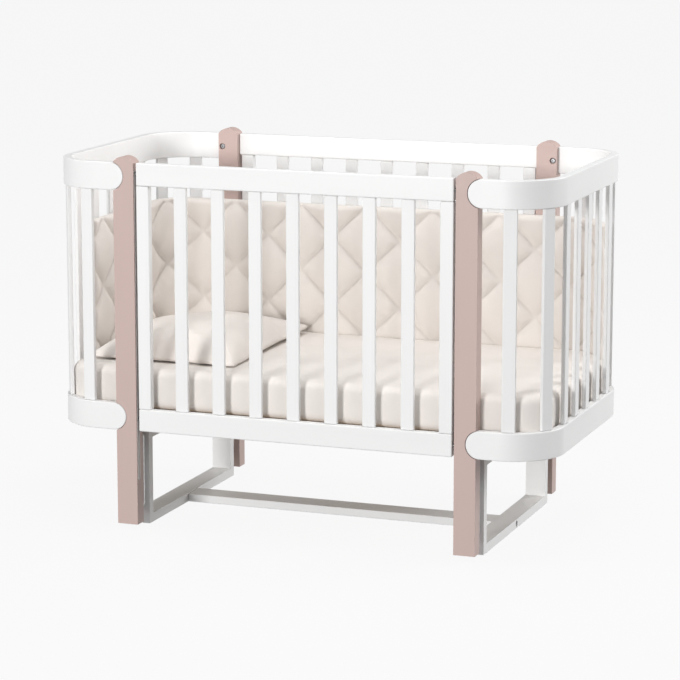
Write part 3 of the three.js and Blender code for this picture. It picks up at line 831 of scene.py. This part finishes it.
def rounded_plan(half_x, half_y, radius, steps=16):
    """The outline of a board with round corners, as (x, y) pairs."""
    outline = []
    for k, (sx, sy) in enumerate(((1, 1), (-1, 1), (-1, -1), (1, -1))):
        for step in range(steps + 1):
            angle = math.pi / 2 * (k + step / steps)
            outline.append((
                sx * (half_x - radius) + radius * math.cos(angle),
                sy * (half_y - radius) + radius * math.sin(angle),
            ))
    return outline


board = bmesh.new()
plate(
    board, rounded_plan(LENGTH / 2 - RAIL_THICKNESS - JOINT_GAP, POST_INNER_Y - JOINT_GAP, BED_BASE_CORNER),
    lambda a, b, depth: (a, b, BED_BASE_LOW + depth), BED_BASE_HIGH - BED_BASE_LOW,
)
bed_board = make_piece("bed_board", board, plywood_finish(), "crib", "plywood", "bed_base")
slots = bmesh.new()
for index in range(BED_SLOT_COUNT):
    x = (index - (BED_SLOT_COUNT - 1) / 2) * BED_SLOT_PITCH
    block(
        slots, (x - BED_SLOT_WIDTH / 2, -BED_SLOT_LENGTH / 2, BED_BASE_LOW - CUT_PAST),
        (x + BED_SLOT_WIDTH / 2, BED_SLOT_LENGTH / 2, BED_BASE_HIGH + CUT_PAST),
    )
cut_away(bed_board, slots)
round_edges(bed_board, BED_BASE_EDGE, 2)


# --- Mattress -----------------------------------------------------------------
# A foam cot mattress, 1200 by 600 by 100 mm with round corners, in a plain cream cotton cover.
# The foam stands a little proud in the middle and its edges are soft.

MATTRESS_LOW = 0.2903
MATTRESS_HIGH = 0.391
MATTRESS_LENGTH = 1.200
MATTRESS_WIDTH = 0.600
MATTRESS_CORNER = 0.062
MATTRESS_EDGE = 0.020
MATTRESS_CROWN = 0.003
MATTRESS_BULGE = 0.002
MATTRESS_FOLD = 0.0012
MATTRESS_AROUND = 300
MATTRESS_EDGE_STEPS = 7
MATTRESS_SIDE_STEPS = 12
MATTRESS_TOP_STEPS = 24
COVER_INSET = 0.001
WAVES_PER_THREAD = 1.57 / (2 * math.pi)
CREAM_PLAIN = (0.835, 0.790, 0.750)


def cotton(name, colour, thread, weave_depth):
    """Woven cotton: threads crossing at a pitch, soft colour changes and a slight nap."""
    finish, tree, surface = new_finish(name)
    shade = speckle(tree, EVEN, 14.0, 4.0)
    tint(tree, between(tree, shade, 0.0, 1.0), colour, tuple(c * 0.955 for c in colour), surface)
    waves = []
    for direction in "XYZ":
        wave = node(tree, "ShaderNodeTexWave", Scale=WAVES_PER_THREAD / thread, Distortion=0.6, Detail=1.0)
        wave.bands_direction = direction
        tree.links.new(place_on_piece(tree, EVEN), wave.inputs["Vector"])
        waves.append(wave.outputs["Fac"])
    total = waves[0]
    for wave in waves[1:]:
        add = tree.nodes.new("ShaderNodeMath")
        tree.links.new(total, add.inputs[0])
        tree.links.new(wave, add.inputs[1])
        total = add.outputs[0]
    woven = relief(tree, total, 0.25, weave_depth, surface)
    relief(tree, speckle(tree, EVEN, 180.0, 5.0), 0.10, 0.0008, surface, woven)
    vary_gloss(tree, speckle(tree, EVEN, 60.0), 0.82, 0.94, surface)
    surface.inputs["Sheen Weight"].default_value = 0.12
    surface.inputs["Sheen Roughness"].default_value = 0.5
    surface.inputs["Specular IOR Level"].default_value = 0.25
    return finish


plain_cotton = cotton("mattress_cotton", CREAM_PLAIN, 0.0009, 0.0002)


def ripple(x, y, z, seed):
    """A smooth wavering value about 0, for the lie of cloth."""
    a = math.sin(x * 11.3 + seed) * math.cos(y * 9.1 - seed * 1.7)
    b = math.sin(x * 27.0 - y * 19.0 + z * 23.0 + seed * 2.3)
    c = math.sin(y * 41.0 + z * 37.0 - x * 13.0 + seed * 0.9)
    return 0.55 * a + 0.3 * b + 0.15 * c


def soft_slab(half_x, half_y, low, high, corner, edge, crown):
    """A slab with round corners, soft bulging sides and a crowned top, in even quads."""
    shape = bmesh.new()
    count = MATTRESS_AROUND
    straight_x, straight_y = half_x - corner, half_y - corner
    lengths = [2 * straight_y, corner * math.pi / 2, 2 * straight_x, corner * math.pi / 2] * 2
    plan = []
    for k in range(count):
        s = sum(lengths) * k / count
        index = 0
        while s > lengths[index] and index < 7:
            s -= lengths[index]
            index += 1
        quarter_turn = index // 2
        turn = Matrix.Rotation(math.pi / 2 * quarter_turn, 2)
        ahead, beside = (straight_x, straight_y) if quarter_turn % 2 == 0 else (straight_y, straight_x)
        angle = 0.0 if index % 2 == 0 else s / corner
        normal = Vector((math.cos(angle), math.sin(angle)))
        reach = -beside + s if index % 2 == 0 else beside
        plan.append((turn @ (Vector((ahead, reach)) + normal * corner), turn @ normal))
    levels = []
    for k in range(MATTRESS_EDGE_STEPS + 1):
        angle = math.pi / 2 * k / MATTRESS_EDGE_STEPS
        levels.append((low + edge * (1 - math.cos(angle)), edge * (1 - math.sin(angle)), 1.0))
    for k in range(1, MATTRESS_SIDE_STEPS):
        levels.append((low + edge + (high - low - 2 * edge) * k / MATTRESS_SIDE_STEPS, 0.0, 1.0))
    for k in range(MATTRESS_EDGE_STEPS + 1):
        angle = math.pi / 2 * k / MATTRESS_EDGE_STEPS
        levels.append((high - edge * (1 - math.sin(angle)), edge * (1 - math.cos(angle)), 1.0))
    for k in range(1, MATTRESS_TOP_STEPS):
        levels.append((high, edge, 1 - k / MATTRESS_TOP_STEPS))
    rings = []
    for z, inset, share in levels:
        rise = math.sin(math.pi * min(max((z - low) / (high - low), 0), 1))
        ring = []
        for point, normal in plan:
            fold = MATTRESS_FOLD * ripple(point.x * 1.3, point.y * 1.3, z * 2, 4.0) * rise
            spot = (point - normal * (inset - MATTRESS_BULGE * rise - fold)) * share
            height = z
            if z >= high - 1e-6:
                flat = max(abs(spot.x) / half_x, abs(spot.y) / half_y)
                height += crown * (1 - flat ** 2)
                height += MATTRESS_FOLD * ripple(spot.x, spot.y, 0, 1.0) * (1 - flat ** 4)
            ring.append(shape.verts.new((spot.x, spot.y, height)))
        rings.append(ring)
    for lower, upper in zip(rings, rings[1:]):
        join_rings(shape, lower, upper)
    for ring, z in ((rings[0], low), (rings[-1], high + crown)):
        close_ring(shape, ring, shape.verts.new((0, 0, z)))
    return shape


slab = soft_slab(
    MATTRESS_LENGTH / 2, MATTRESS_WIDTH / 2, MATTRESS_LOW, MATTRESS_HIGH - COVER_INSET,
    MATTRESS_CORNER, MATTRESS_EDGE, MATTRESS_CROWN,
)
mattress_pad = make_piece("cot_mattress", slab, plain_cotton, "crib", "mattress_fabric", "mattress")


# --- Bumper -------------------------------------------------------------------
# Two layers of cream cotton over wadding, quilted in large diamonds. The pad stands on the
# mattress round the left end, the back and the far corner, and its edges are turned in and sewn.

BUMPER_LOW = 0.3838
BUMPER_HIGH = 0.7225
BUMPER_MIDDLE = 0.013
BUMPER_END_X = 0.603
BUMPER_BACK_Y = 0.302
BUMPER_BEND = 0.100
BUMPER_LEFT_Y = -0.165
BUMPER_RIGHT_Y = 0.188
DIAMOND_WIDTH = 0.178
DIAMOND_HEIGHT = 0.171
SEAM_PHASE = -0.0409
SEAM_LEVEL = 0.551
STITCH_CELLS = 36
STITCH_DEPTH = 0.0008
PUFF_INSIDE = 0.0155
PUFF_OUTSIDE = 0.0120
PRESSED_SHARE = 0.55
PUFF_UNEVENNESS = 0.10
PUCKER = 0.0011
PUCKER_REACH = 0.016
PUCKER_PITCH = 0.0036
RIM_WIDTH = 0.014
HEM_WIDTH = 0.010
HEM_DEPTH = 0.0048
CREAM_QUILT = (0.805, 0.755, 0.710)
quilt_cotton = cotton("bumper_cotton", CREAM_QUILT, 0.0008, 0.0002)

inner_bend = BUMPER_BEND - 2 * BUMPER_MIDDLE
pad_bend_x = BUMPER_END_X - BUMPER_BEND
pad_bend_y = BUMPER_BACK_Y - BUMPER_BEND
pad_quarter = inner_bend * math.pi / 2
pad_low = -pad_bend_x - pad_quarter - (pad_bend_y - BUMPER_LEFT_Y)
pad_high = pad_bend_x + pad_quarter + (pad_bend_y - BUMPER_RIGHT_Y)
seam_spacing = DIAMOND_WIDTH * DIAMOND_HEIGHT / math.hypot(DIAMOND_WIDTH, DIAMOND_HEIGHT)
cell_along = DIAMOND_WIDTH / STITCH_CELLS
cell_up = DIAMOND_HEIGHT / STITCH_CELLS
first_column = math.ceil((pad_low - SEAM_PHASE) / cell_along)
last_column = math.floor((pad_high - SEAM_PHASE) / cell_along)
first_row = math.floor((BUMPER_LOW - SEAM_LEVEL) / cell_up)
last_row = round((BUMPER_HIGH - SEAM_LEVEL) / cell_up)


def along_bumper(s, proud):
    """The place of a point on the pad: s runs along its inner face, 0 at the middle of the back."""
    side = 1 if s >= 0 else -1
    s = abs(s)
    radius = inner_bend + BUMPER_MIDDLE - proud
    if s <= pad_bend_x:
        return Vector((side * s, pad_bend_y + radius, 0))
    s -= pad_bend_x
    if s <= pad_quarter:
        angle = math.pi / 2 * s / pad_quarter
        x, y = pad_bend_x + radius * math.sin(angle), pad_bend_y + radius * math.cos(angle)
        return Vector((side * x, y, 0))
    s -= pad_quarter
    return Vector((side * (pad_bend_x + radius), pad_bend_y - s, 0))


def two_layer_cover(name, across, up, put, material, slot, cad_node):
    """A flat cover of two layers joined all round, and the number of each of its vertices."""
    cover = bmesh.new()
    number = {}
    for layer in (1, -1):
        for i in range(across + 1):
            for j in range(up + 1):
                rim = i in (0, across) or j in (0, up)
                if rim and layer < 0:
                    number[layer, i, j] = number[1, i, j]
                    continue
                number[layer, i, j] = len(cover.verts)
                cover.verts.new(put(i, j, 0 if rim else layer))
                cover.verts.ensure_lookup_table()
    for layer in (1, -1):
        for i in range(across):
            for j in range(up):
                corners = [(i, j), (i + 1, j), (i + 1, j + 1), (i, j + 1)]
                cover.faces.new([cover.verts[number[layer, a, b]] for a, b in corners[::layer]])
    return make_piece(name, cover, material, "crib", slot, cad_node), number


def puff(s, z, layer):
    """How far the cloth stands off the middle of the pad at a point."""
    u, v = (s - SEAM_PHASE) / DIAMOND_WIDTH, (z - SEAM_LEVEL) / DIAMOND_HEIGHT
    rise, pucker = 1.0, 0.0
    for seam, along in ((u + v, u - v), (u - v, u + v)):
        off = abs(seam - round(seam))
        rise *= (1 - (1 - 2 * off) ** 3) ** 0.6
        wander = 2.5 * math.sin(7 * seam + 3 * along)
        wave = math.sin(along * seam_spacing / PUCKER_PITCH + wander + layer)
        strength = 0.5 + 0.5 * math.sin(5.1 * along + 2.3 * round(seam) + layer)
        pucker += wave * strength * math.exp(-off * seam_spacing / PUCKER_REACH) * min(1, off * 14)
    if layer < 0:
        rise = PRESSED_SHARE + (1 - PRESSED_SHARE) * rise
    full = PUFF_INSIDE if layer > 0 else PUFF_OUTSIDE
    own_fill = math.sin(3.1 * math.floor(u + v) + 5.7 * math.floor(u - v))
    uneven = 1 + PUFF_UNEVENNESS * (own_fill + ripple(s, z, 0, 2.0 + layer))
    edge = min(s - pad_low, pad_high - s, z - BUMPER_LOW, BUMPER_HIGH - z)
    rim = max(0.0, 1 - max(0.0, 1 - edge / RIM_WIDTH) ** 2) ** 0.5
    hem = HEM_DEPTH * max(0.0, 1 - (1 - min(2.0, 2 * edge / HEM_WIDTH)) ** 2) ** 0.5
    return max((STITCH_DEPTH + full * rise * uneven + PUCKER * pucker) * rim, hem)


def bent_pad(i, j, layer):
    """A grid point of the pad, bent round the crib."""
    s = min(max(SEAM_PHASE + (i + first_column) * cell_along, pad_low), pad_high)
    z = min(max(SEAM_LEVEL + (j + first_row) * cell_up, BUMPER_LOW), BUMPER_HIGH)
    point = along_bumper(s, layer * puff(s, z, layer))
    point.z = z
    return point


quilted_bumper, _ = two_layer_cover(
    "quilted_bumper", last_column - first_column, last_row - first_row, bent_pad, quilt_cotton,
    "bumper_fabric", "bumper",
)


# --- Pillow -------------------------------------------------------------------
# A square cream cotton cushion with a soft filling, lying on the mattress against the left end.
# Two layers of cloth are sewn together all round and blown up from inside.

PILLOW_CELL = 0.0075
PILLOW_SPARE = 0.035
PILLOW_LAYER_GAP = 0.002
PILLOW_PRESSURE = 3.0
PILLOW_GROWTH = 0.03
PILLOW_FRAMES = 20
PILLOW_FRONT_SEAM = 0.397
PILLOW_BACK_SEAM = 0.410
PILLOW_SQUARENESS = 0.82
PILLOW_FULLNESS = 0.74
PILLOW_BACK_DROP = 0.035
PILLOW_LEFT_DROP = 0.030
PILLOW_FORWARD = 0.009
CREAM_PILLOW = (0.830, 0.782, 0.738)
pillow_low, pillow_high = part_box("pillow")
pillow_cotton = cotton("pillow_cotton", CREAM_PILLOW, 0.0008, 0.0002)
pillow_middle = (pillow_low + pillow_high) / 2
pillow_half = (pillow_high - pillow_low) / 2
pillow_across = round(2 * (pillow_half.x + PILLOW_SPARE) / PILLOW_CELL)
pillow_up = round(2 * (pillow_half.y + PILLOW_SPARE) / PILLOW_CELL)


def inflate(casing, pressure, growth, frames):
    """Blows a sewn cover up from inside by cloth simulation."""
    cloth = casing.modifiers.new("filling", "CLOTH")
    cloth.settings.quality = 6
    cloth.settings.mass = 0.25
    cloth.settings.tension_stiffness = 18
    cloth.settings.compression_stiffness = 18
    cloth.settings.shear_stiffness = 6
    cloth.settings.bending_stiffness = 0.04
    cloth.settings.shrink_min = -growth
    cloth.settings.use_pressure = True
    cloth.settings.uniform_pressure_force = pressure
    cloth.settings.effector_weights.gravity = 0
    cloth.collision_settings.use_collision = False
    for number in range(1, frames + 1):
        bpy.context.scene.frame_set(number)
    settle(casing)
    bpy.context.scene.frame_set(1)


def flat_pillow(i, j, layer):
    """A grid point of the empty pillow cover, about the pillow's own middle."""
    a, b = 2 * i / pillow_across - 1, 2 * j / pillow_up - 1
    x, y = (pillow_half.x + PILLOW_SPARE) * a, (pillow_half.y + PILLOW_SPARE) * b
    return Vector((x, y, PILLOW_LAYER_GAP * layer))


head_pillow, pillow_number = two_layer_cover(
    "head_pillow", pillow_across, pillow_up, flat_pillow, pillow_cotton, "pillow_fabric", "pillow",
)
inflate(head_pillow, PILLOW_PRESSURE, PILLOW_GROWTH, PILLOW_FRAMES)
cover = np.empty(len(head_pillow.data.vertices) * 3)
head_pillow.data.vertices.foreach_get("co", cover)
cover = cover.reshape(-1, 3)
cover -= (cover.max(axis=0) + cover.min(axis=0)) / 2
cover /= cover.max(axis=0)
for (layer, i, j), n in pillow_number.items():
    square = np.array((2 * i / pillow_across - 1, 2 * j / pillow_up - 1))
    cover[n, :2] += (square - cover[n, :2]) * PILLOW_SQUARENESS
cover[:, 2] = np.sign(cover[:, 2]) * np.abs(cover[:, 2]) ** PILLOW_FULLNESS
placed = np.empty_like(cover)
placed[:, 0] = pillow_middle.x + pillow_half.x * cover[:, 0]
placed[:, 1] = pillow_middle.y + pillow_half.y * cover[:, 1]
placed[:, 1] -= PILLOW_FORWARD * np.maximum(-cover[:, 1], 0)
lift = (cover[:, 1] + 1) / 2
seam = PILLOW_FRONT_SEAM + (PILLOW_BACK_SEAM - PILLOW_FRONT_SEAM) * lift
crest = pillow_high.z - PILLOW_BACK_DROP * np.maximum(cover[:, 1], 0)
crest -= PILLOW_LEFT_DROP * np.maximum(-cover[:, 0], 0)
above = seam + (crest - seam) * np.maximum(cover[:, 2], 0)
below = seam - (seam - pillow_low.z) * np.minimum(1, np.maximum(-cover[:, 2], 0) * 2)
placed[:, 2] = np.where(cover[:, 2] >= 0, above, below)
head_pillow.data.vertices.foreach_set("co", placed.ravel())
smooth = head_pillow.modifiers.new("soft cloth", "SUBSURF")
smooth.levels = 1
settle(head_pillow)


# --- Floor, light and camera --------------------------------------------------
# A plain pale studio floor, a soft key light low in front, weaker lights from the left, the right,
# above and behind on the right, and an even white surround.

FLOOR_SIZE = 80.0
FLOOR_DROP = 0.0005
FLOOR_GLOW = 0.915
SURROUND_GLOW = 0.245
sweep = bmesh.new()
bmesh.ops.create_grid(sweep, x_segments=1, y_segments=1, size=FLOOR_SIZE / 2)
floor_mesh = bpy.data.meshes.new("studio_floor")
sweep.to_mesh(floor_mesh)
sweep.free()
studio_floor = bpy.data.objects.new("studio_floor", floor_mesh)
bpy.context.scene.collection.objects.link(studio_floor)
studio_floor.location.z = -FLOOR_DROP
floor_finish, _, floor_surface = new_finish("floor_white")
floor_surface.inputs["Base Color"].default_value = (0.04, 0.04, 0.04, 1)
floor_surface.inputs["Roughness"].default_value = 0.9
floor_surface.inputs["Specular IOR Level"].default_value = 0.0
floor_surface.inputs["Emission Color"].default_value = (1, 1, 1, 1)
floor_surface.inputs["Emission Strength"].default_value = FLOOR_GLOW
floor_mesh.materials.append(floor_finish)
studio_floor.visible_diffuse = False
studio_floor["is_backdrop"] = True


def soft_light(name, place, aim, width, height, watts):
    """A rectangular studio light, aimed at a point."""
    light = bpy.data.lights.new(name, "AREA")
    light.shape = "RECTANGLE"
    light.size = width
    light.size_y = height
    light.energy = watts
    lamp = bpy.data.objects.new(name, light)
    lamp.location = place
    lamp.rotation_euler = (Vector(aim) - Vector(place)).to_track_quat("-Z", "Y").to_euler()
    bpy.context.scene.collection.objects.link(lamp)


soft_light("key_light", (-1.25, -8.75, 1.85), (0, 0, 0.5), 1.6, 0.8, 452)
soft_light("left_light", (-4.6, -2.4, 2.4), (0, 0, 0.5), 2.0, 2.0, 48)
soft_light("rim_light", (4.0, 2.7, 1.8), (0, 0, 0.5), 2.4, 2.0, 146)
soft_light("fill_light", (4.0, -4.0, 4.0), (0, 0, 0.5), 2.0, 2.0, 38)
soft_light("top_light", (0.35, -0.1, 3.4), (0.1, 0, 0.5), 2.2, 1.6, 50)

surround = bpy.data.worlds.new("studio_surround")
bpy.context.scene.world = surround
surround.use_nodes = True
background = next(n for n in surround.node_tree.nodes if n.type == "BACKGROUND")
background.inputs["Color"].default_value = (1, 1, 1, 1)
background.inputs["Strength"].default_value = SURROUND_GLOW

bpy.context.scene.view_settings.view_transform = "Standard"

CAMERA_PLACE = Vector((2.2903, -6.1880, 1.6841))
CAMERA_AIM = Vector((-0.0053, 0.0, 0.4318))
lens = bpy.data.cameras.new("studio_camera")
lens.lens = 145.8
lens.sensor_width = 36.0
lens.clip_end = 200.0
camera = bpy.data.objects.new("studio_camera", lens)
camera.location = CAMERA_PLACE
camera.rotation_euler = (CAMERA_AIM - CAMERA_PLACE).to_track_quat("-Z", "Y").to_euler()
bpy.context.scene.collection.objects.link(camera)
bpy.context.scene.camera = camera

low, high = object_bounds()
